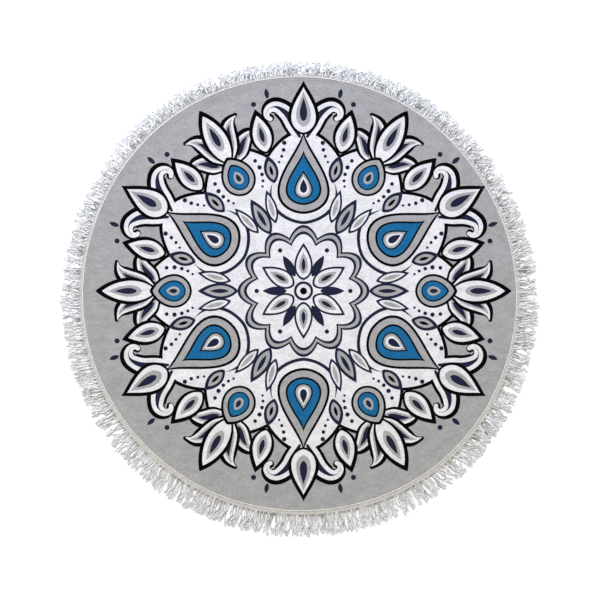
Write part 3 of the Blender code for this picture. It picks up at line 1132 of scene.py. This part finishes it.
def strand_tree(material):
    """A crinkled strand, or an open loop, from each root point out over the floor."""
    sizes = {"Strand width": "Float", "Strand points": "Int", "Loop points": "Int", "Seed": "Int"}
    tree, node = new_tree("Fringe strands", sizes)
    given = node("NodeGroupInput").outputs
    place = node("GeometryNodeInputPosition")
    spline = node("GeometryNodeSplineParameter").outputs
    of = {
        name: node("GeometryNodeInputNamedAttribute", {"Name": name}, data_type="FLOAT")
        for name in STRAND_NUMBERS
    }
    along = of["along"]

    def pattern(points, along_value, side_value):
        """A line one metre long. Each of its points knows how far along it is, and on which side."""
        line = node("GeometryNodeCurvePrimitiveLine", {"Start": (0, 0, 0), "End": (1, 0, 0)})
        line = node("GeometryNodeResampleCurve", {"Curve": line, "Count": points})
        for name, value in (("along", along_value), ("side", side_value)):
            line = node(STORE, {"Geometry": line, "Name": name, "Value": value}, data_type="FLOAT")
        return node(SET_POSITION, {"Geometry": line, "Position": node(COMBINE, along)})

    def grown(shape, selection):
        """The pattern at the selected roots, turned and stretched as their numbers say."""
        rows = {
            "Points": given["Geometry"],
            "Selection": selection,
            "Instance": shape,
            "Rotation": node(COMBINE, 0.0, 0.0, of["turn"]),
            "Scale": node(COMBINE, of["reach"], 1.0, 1.0),
        }
        return node("GeometryNodeRealizeInstances", {"Geometry": node("GeometryNodeInstanceOnPoints", rows)})

    def above_floor(geometry, lowest):
        """Nothing sinks into the floor: points below a height are raised to it."""
        x, y, z = node(SEPARATE, place).outputs
        held = node(COMBINE, x, y, node(MATH, z, lowest, operation="MAXIMUM"))
        return node(SET_POSITION, {"Geometry": geometry, "Position": held})

    # Two patterns: a straight strand, and a loop whose two legs lie on each other. side is 1 on one leg
    # and -1 on the other, and passes smoothly through 0 round the tip.
    half_turn = node(MATH, spline["Factor"], math.pi, operation="MULTIPLY")
    out = node(MATH, node(MATH, half_turn, operation="SINE"), LOOP_POINTEDNESS, operation="POWER")
    cosine = node(MATH, half_turn, operation="COSINE")
    apart = node(MATH, node(MATH, cosine, operation="ABSOLUTE"), LOOP_ROUNDNESS, operation="POWER")
    side = node(MATH, node(MATH, cosine, operation="SIGN"), apart, operation="MULTIPLY")
    strands = node("GeometryNodeJoinGeometry")
    for comparison, shape in (
        ("LESS_THAN", pattern(given["Strand points"], spline["Factor"], 0.0)),
        ("GREATER_THAN", pattern(given["Loop points"], out, side)),
    ):
        chosen = grown(shape, node(MATH, of["looped"], 0.5, operation=comparison))
        tree.links.new(chosen.outputs[0], strands.inputs[0])

    # The crinkle comes from noise read along the strand, one row for each.
    wander = node(
        COMBINE,
        node(MATH, along, CRINKLES, operation="MULTIPLY"),
        node(MATH, of["number"], ROW_APART, operation="MULTIPLY"),
        given["Seed"],
    )
    noise = node(NOISE, {"Vector": wander, "Scale": 1.0, "Detail": 0.0}).outputs["Color"]
    centred = node(VECTOR_MATH, noise, (0.5, 0.5, 0.5), operation="SUBTRACT")
    growth = node(MATH, node(MATH, along, CRINKLE_GROWTH, operation="MULTIPLY"), 1.0, operation="MINIMUM")
    crinkle = node(MATH, of["crinkle"], growth, operation="MULTIPLY")
    sway_out, sway_across, sway_up = node(
        SEPARATE, node(VECTOR_MATH, centred, crinkle, operation="SCALE")
    ).outputs
    sway_up = node(MATH, sway_up, CRINKLE_UP, operation="MULTIPLY")
    # It comes down from its root's height to its own level.
    dropped = node(MAP_RANGE, along, 0.0, DROP_SHARE, 0.0, 1.0, interpolation_type="SMOOTHSTEP")
    drop = node(MATH, of["level"], of["root_height"], operation="SUBTRACT")
    drop = node(MATH, drop, dropped, operation="MULTIPLY")
    rise = node(MATH, drop, sway_up, operation="ADD")
    bow = node(MATH, node(MATH, along, along, operation="MULTIPLY"), of["bow"], operation="MULTIPLY")
    # A ringlet winds the strand round in its own plane, more towards the tip.
    whole_turns = node(MATH, along, math.tau, operation="MULTIPLY")
    winding = node(MATH, whole_turns, of["ringlets"], of["start"], operation="MULTIPLY_ADD")
    growth = node(MATH, node(MATH, along, CURL_GROWTH, operation="MULTIPLY"), 1.0, operation="MINIMUM")
    curl = node(MATH, of["curl"], growth, operation="MULTIPLY")
    curl_out = node(MATH, curl, node(MATH, winding, operation="COSINE"), operation="MULTIPLY")
    curl_across = node(MATH, curl, node(MATH, winding, operation="SINE"), operation="MULTIPLY")
    # A loop's legs wind round each other, and pass over and under where they cross.
    winding = node(MATH, whole_turns, of["twists"], of["phase"], operation="MULTIPLY_ADD")
    opened = node(MATH, along, 1.0 - ROOT_OPENING, ROOT_OPENING, operation="MULTIPLY_ADD")
    opened = node(MATH, of["opening"], opened, operation="MULTIPLY")
    leg_across = node(MATH, of["side"], opened, operation="MULTIPLY")
    leg_across = node(MATH, leg_across, node(MATH, winding, operation="COSINE"), operation="MULTIPLY")
    leg_up = node(MATH, of["side"], LEG_GAP, operation="MULTIPLY")
    leg_up = node(MATH, leg_up, node(MATH, winding, operation="SINE"), operation="MULTIPLY")
    bent = node(MATH, sway_across, bow, operation="ADD")
    shift = node(
        COMBINE,
        node(MATH, sway_out, CRINKLE_ALONG, curl_out, operation="MULTIPLY_ADD"),
        node(MATH, bent, node(MATH, leg_across, curl_across, operation="ADD"), operation="ADD"),
        node(MATH, rise, leg_up, operation="ADD"),
    )
    turned = node("ShaderNodeVectorRotate", {"Vector": shift, "Angle": of["turn"]}, rotation_type="Z_AXIS")
    strands = node(SET_POSITION, {"Geometry": strands, "Offset": turned})
    # A strand's middle lies no lower than half its thickness.
    strands = above_floor(strands, node(MATH, given["Strand width"], 0.5, operation="MULTIPLY"))
    run = spline["Length"]
    strands = node(STORE, {"Geometry": strands, "Name": "run", "Value": run}, data_type="FLOAT")
    first_tilt = node(MATH, of["number"], TILT_STEP, operation="MULTIPLY")
    tilt = node(MATH, run, math.tau / TWIST_PITCH, first_tilt, operation="MULTIPLY_ADD")
    strands = node("GeometryNodeSetCurveTilt", {"Curve": strands, "Tilt": tilt})

    # The strand's section, a flattened ring that remembers the way each point faces.
    ring = node("GeometryNodeCurvePrimitiveCircle", {"Resolution": STRAND_SIDES, "Radius": 0.5})
    facing = node(VECTOR_MATH, place, operation="NORMALIZE")
    ring = node(STORE, {"Geometry": ring, "Name": "around", "Value": facing}, data_type="FLOAT_VECTOR")
    ring = node("GeometryNodeTransform", {"Geometry": ring, "Scale": (1.0, STRAND_FLATNESS, 1.0)})
    narrowed = node(MAP_RANGE, along, NARROWS_FROM, 1.0, 1.0, TIP_WIDTH)
    width = node(MATH, given["Strand width"], of["fullness"], operation="MULTIPLY")
    width = node(MATH, width, narrowed, operation="MULTIPLY")
    section = {"Curve": strands, "Profile Curve": ring, "Scale": width, "Fill Caps": True}
    tubes = node("GeometryNodeCurveToMesh", section)
    finish_tree(node, above_floor(tubes, FLOOR_GAP), material)
    return tree


def pushed(direction):
    """How far the fringe is pushed back over its tape: much at the towel's upper right, a little on its
    left."""
    return max(nearness(direction, 50.0, 0.21, 0.62), 0.4 * nearness(direction, 155.0, 0.3, 0.7))


def mussed(direction):
    """How tousled the fringe is: patches of it lie combed and others ruffled, the most at its right."""
    patches = 0.5 + 0.5 * math.sin(11.0 * direction + 2.0 * math.sin(3.0 * direction))
    return patches + 0.3 * nearness(direction, 0.0, 0.6, 0.9)


def root_shade_at(direction):
    """How much painted shade the roots are given: most along the towel's bottom, little at its left and none
    at its top.
    """
    left = max(0.0, math.cos(direction - math.radians(165.0))) ** 4.0
    return (1.0 - topward(direction)) * (1.0 - 0.7 * left)


# Where a strand leaves the tape. The pitch and the shifts are in shares of the even way between strands.
GROUP = 3  # strands that leave the tape close together
GROUP_PITCH = 0.88  # from strand to strand in a group
GROUP_SHIFT = 0.7  # the most that chance moves a group, of which about half is kept
STRAND_SHIFT = 0.3  # the most that chance moves a strand in its group
CROWDING = 0.14  # how much closer together the strands lie at the top, and wider at the bottom
TUCK = (0.0010, 0.0034)  # how far in from the tape's outer edge a root lies
PUSHED_TUCK = 0.0030  # how much farther in the roots lie where the fringe is pushed back
UPPER_PUSHED_TUCK = (0.0030, 0.0100)  # the same for strands that lie over others
LOW_ROOT, HIGH_ROOT = 0.0016, 0.0052  # a root's height beyond the ribs, and over them
RIBS_FROM = 0.0035  # a root that is tucked in farther than this lies over the ribs

# A strand's habits.
LOOPED_SHARE, LOOPED_SHARE_TOP = 0.74, 0.62  # the share of open loops at the towel's bottom and its top
TIP_TOP = 0.0062  # how much farther the strands reach at the towel's top than the waves say
SHORTFALL = 0.0010  # how far short of that every strand ends
CHANCE_SHORTFALL = 0.0120  # and the most that chance adds, though it adds little to most
CURL = (0.0010, 0.0085)  # a ringlet's radius
RINGLETS = (0.7, 1.5)  # how often a ringlet winds round, to the left or the right
OPENING = (0.0018, 0.0046)  # half the way between a loop's legs, at its tip
SLACK_OPENING = 0.0110  # how much wider than that a loop may open if it is all slack
TWISTS = (0.0, 0.5, 0.5, 1.0)  # how often a loop's legs wind round each other, give or take a fifth
ROOT_SHADE_SHARE = (0.35, 0.95)  # the share of a place's painted root shade that a strand's root is given
CRINKLE, SLACK_CRINKLE = 0.0160, 0.0340  # the noise's height in a taut strand, and what slack adds
LEVEL, UPPER_LEVEL, CHANCE_LEVEL = 0.0024, 0.0024, 0.0012  # a strand's height, and what is added to it
BOW = 0.0030  # how far a strand's tip is bent to the side, by chance
FULLNESS = (0.85, 1.10)  # a strand's width, as a share of the width that is set


def strand_roots(settings, dice):
    """Each strand's root and the numbers that shape it, in metres, turns or shares. Every second strand is
    an upper one, which lies over its neighbours. The order in which the dice are asked fixes the fringe."""
    rows = []
    shift = 0.0
    for step in range(settings.strands):
        group, place = divmod(step, GROUP)
        if place == 0:
            shift = dice.uniform(-GROUP_SHIFT, GROUP_SHIFT)
        kept_shift = 0.55 - 0.15 * topward(math.tau * group * GROUP / settings.strands)
        spread = GROUP_PITCH * (place - (GROUP - 1) / 2) + shift * kept_shift
        spread += dice.uniform(-STRAND_SHIFT, STRAND_SHIFT)
        direction = math.tau * (GROUP * (group + 0.5) + spread) / settings.strands
        direction += CROWDING * math.cos(direction)
        upper = step % 2
        top = topward(direction)
        ruffle = mussed(direction)
        tuck = dice.uniform(*TUCK)
        tuck += pushed(direction) * (dice.uniform(*UPPER_PUSHED_TUCK) if upper else PUSHED_TUCK)
        root_radius = edge_radius(direction) + SEAM_GAP + TAPE_WIDTH - tuck
        root_height = HIGH_ROOT if tuck > RIBS_FROM else LOW_ROOT
        # An upper strand is one of the lighter ones, so the lower strands under them are darker on the whole:
        # painted shade over a tone that differs at random. Along the top, the tones lie closer together.
        tone = dice.uniform(0.5 if upper else 0.0, 1.0)
        alike = nearness(direction, 90.0, 0.35, 0.85)
        # The tips lean to the side in waves, and by chance, the more so where the fringe is ruffled.
        lean = wave_sum(direction, LEAN_WAVES) * (1.0 - 0.6 * top)
        lean += dice.gauss(0.0, 0.0028 + 0.0046 * top + 0.0030 * ruffle)
        reach = tip_radius(direction) + TIP_TOP * top - SHORTFALL - CHANCE_SHORTFALL * dice.random() ** 2.0
        reach -= root_radius
        looped = dice.random() < LOOPED_SHARE + (LOOPED_SHARE_TOP - LOOPED_SHARE) * top
        curl = (0.2 + 0.5 * top + 0.5 * ruffle) * dice.uniform(*CURL) * (0.85 if looped else 1.0)
        # What a strand's length leaves over, as a share of it, goes into its crinkle and its loop.
        slack = max(0.0, 1.0 - reach / settings.strand_length)
        rows.append({
            "root": in_frame(direction, root_radius, root_height),
            "turn": direction + math.atan2(lean, reach),
            "reach": reach - 0.5 * curl,
            "looped": float(looped),
            "opening": dice.uniform(*OPENING) + slack * dice.uniform(0.0, SLACK_OPENING),
            "twists": dice.choice(TWISTS) * dice.uniform(0.8, 1.2),
            "phase": dice.uniform(-0.5, 0.5),
            "curl": curl,
            "ringlets": dice.choice((-1.0, 1.0)) * dice.uniform(*RINGLETS) * (0.8 if looped else 1.0),
            "start": dice.uniform(0.0, math.tau),
            # Painted shade at the strand's roots, most along the towel's bottom.
            "painted_shade": root_shade_at(direction) * dice.uniform(*ROOT_SHADE_SHARE),
            "number": float(step),
            "crinkle": CRINKLE + SLACK_CRINKLE * slack,
            "level": LEVEL + UPPER_LEVEL * upper * (1.0 - 0.4 * top) + CHANCE_LEVEL * dice.random(),
            "root_height": root_height,
            "bow": dice.gauss(0.0, BOW),
            "fullness": dice.uniform(*FULLNESS) * (1.0 - 0.08 * top) * (LEG_WIDTH if looped else 1.0),
            "tone": tone + alike * (0.25 - 0.5 * tone),
            # The tint of cool or warm light painted on the darker strands: warm at the bottom and right, cool
            # at the top, by chance in part.
            "light_warmth": min(1.0, (1.0 - top) * dice.uniform(0.7, 1.8) + 0.3 * max(math.cos(direction), 0.0)),
        })
    return rows


ROOT_SEED = 23
WANDER_SEED = 4


class TOWEL_OT_strands(bpy.types.Operator):
    """Makes the crinkled and looped strands of the fringe"""

    bl_idname = "towel.strands"
    bl_label = "Fringe strands"

    def execute(self, context):
        settings = context.scene.towel_fringe
        rows = strand_roots(settings, random.Random(ROOT_SEED))
        tree = strand_tree(twisted_cotton(settings.cotton))
        sizes = {
            "Strand width": settings.strand_width,
            "Strand points": STRAND_POINTS,
            "Loop points": LOOP_POINTS,
            "Seed": WANDER_SEED,
        }
        share = math.ceil(len(rows) / STRAND_PIECES)
        for piece in range(STRAND_PIECES):
            part = rows[piece * share:(piece + 1) * share]
            numbers = {name: [row[name] for row in part] for name in part[0] if name != "root"}
            roots = points_object(f"strand_roots_{piece + 1}", [row["root"] for row in part], numbers)
            set_tree(roots, tree, sizes)
            ride(made_plain(roots, f"fringe_strands_{piece + 1}"), "fringe_cotton", "fringe")
        return {"FINISHED"}


# ---------------------------------------------------------------- the stage

FLOOR_HALF = 9.0
KEY_PLACE = Vector((-1.2, 4.0, 5.2))  # beyond the towel's top, a little to the left, and it faces the towel
KEY_SIZE = 5.0
VIEW_AIM = (-0.0016, -0.0032)  # the picture's middle, from the middle of the waves
SENSOR_WIDTH = 36.0  # in millimetres, as the lens is


class TOWEL_OT_stage(bpy.types.Operator):
    """Makes the paper floor, the soft light and the camera straight above"""

    bl_idname = "towel.stage"
    bl_label = "Stage"

    def execute(self, context):
        settings = context.scene.towel_stage
        mesh = bpy.data.meshes.new("floor")
        corners = [(sx * FLOOR_HALF, sy * FLOOR_HALF, 0.0) for sx, sy in ((-1, -1), (1, -1), (1, 1), (-1, 1))]
        mesh.from_pydata(corners, [], [(0, 1, 2, 3)])
        new_object("floor", mesh, [studio_paper()])

        light = bpy.data.lights.new("key", "AREA")
        light.shape = "SQUARE"
        light.size = KEY_SIZE
        light.energy = settings.key_power
        key = new_object("key", light)
        key.location = KEY_PLACE
        key.rotation_euler = (-KEY_PLACE).to_track_quat("-Z", "Y").to_euler()

        world = bpy.data.worlds.new("soft_sky")
        world.use_nodes = True
        backdrop = world.node_tree.nodes["Background"]
        backdrop.inputs["Color"].default_value = linear("FFFFFF")
        backdrop.inputs["Strength"].default_value = settings.sky
        context.scene.world = world

        camera = bpy.data.cameras.new("camera")
        camera.lens = settings.lens
        camera.sensor_width = SENSOR_WIDTH
        eye = new_object("camera", camera)
        distance = settings.view_width * settings.lens / SENSOR_WIDTH
        eye.location = (MIDDLE_X + VIEW_AIM[0], MIDDLE_Y + VIEW_AIM[1], distance)
        context.scene.camera = eye
        context.scene.view_settings.view_transform = "Standard"
        return {"FINISHED"}


# ---------------------------------------------------------------- the sewn-on pieces' names, the panel and the run


def declare_cloth():
    sewn_on = ["hem_stitches", "seam_cord", "heading_tape"]
    sewn_on += [f"fringe_strands_{piece + 1}" for piece in range(STRAND_PIECES)]


class TOWEL_PT_panel(bpy.types.Panel):
    """Lists the towel's settings and the steps that make it"""

    bl_idname = "TOWEL_PT_panel"
    bl_label = "Round Beach Towel"
    bl_space_type = "VIEW_3D"
    bl_region_type = "UI"
    bl_category = "Towel"

    def draw(self, context):
        for group in ("towel_print", "towel_fringe", "towel_stage"):
            settings = getattr(context.scene, group)
            for name in settings.bl_rna.properties.keys():
                if name not in ("rna_type", "name"):
                    self.layout.prop(settings, name)
        for operator in OPERATORS:
            self.layout.operator(operator.bl_idname)


SETTINGS = {
    "towel_print": TowelPrintSettings,
    "towel_fringe": TowelFringeSettings,
    "towel_stage": TowelStageSettings,
}
OPERATORS = (
    TOWEL_OT_stage,
    TOWEL_OT_cloth,
    TOWEL_OT_stitches,
    TOWEL_OT_heading,
    TOWEL_OT_seam_cord,
    TOWEL_OT_strands,
)
CLASSES = (*SETTINGS.values(), *OPERATORS, TOWEL_PT_panel)


def register():
    for cls in CLASSES:
        bpy.utils.register_class(cls)
    for name, cls in SETTINGS.items():
        setattr(bpy.types.Scene, name, bpy.props.PointerProperty(type=cls))


def unregister():
    for name in SETTINGS:
        delattr(bpy.types.Scene, name)
    for cls in reversed(CLASSES):
        bpy.utils.unregister_class(cls)


def main():
    register()
    bpy.ops.towel.stage()
    bpy.ops.towel.cloth()
    bpy.ops.towel.stitches()
    bpy.ops.towel.heading()
    bpy.ops.towel.seam_cord()
    bpy.ops.towel.strands()
    declare_cloth()


if __name__ == "__main__":
    main()
